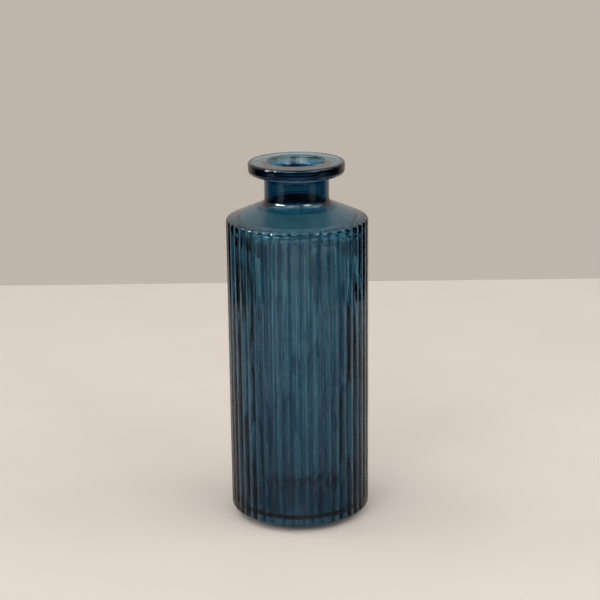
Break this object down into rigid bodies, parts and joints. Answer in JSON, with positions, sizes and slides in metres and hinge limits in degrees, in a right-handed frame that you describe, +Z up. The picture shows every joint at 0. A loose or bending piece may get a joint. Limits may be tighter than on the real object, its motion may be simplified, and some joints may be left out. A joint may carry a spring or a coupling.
{
  "type": "bud vase",
  "caption": "Small bottle-shaped glass vase with an upright ribbed body, plain sloping shoulder, narrow neck and flat flanged lip, for a stem or two.",
  "frame": {"origin": "centre of the foot, on the surface that the vase stands on", "axes": "+Z up along the vase's axis, out of its mouth; +X and +Y lie a quarter of a rib on from a rib crest, and the vase is otherwise the same all round"},
  "size_m": [0.051, 0.051, 0.132],
  "materials": {
    "blue_glass": "gloss"
  },
  "bodies": {
    "root": {"glass_vase": "blue_glass"}
  },
  "joints": []
}
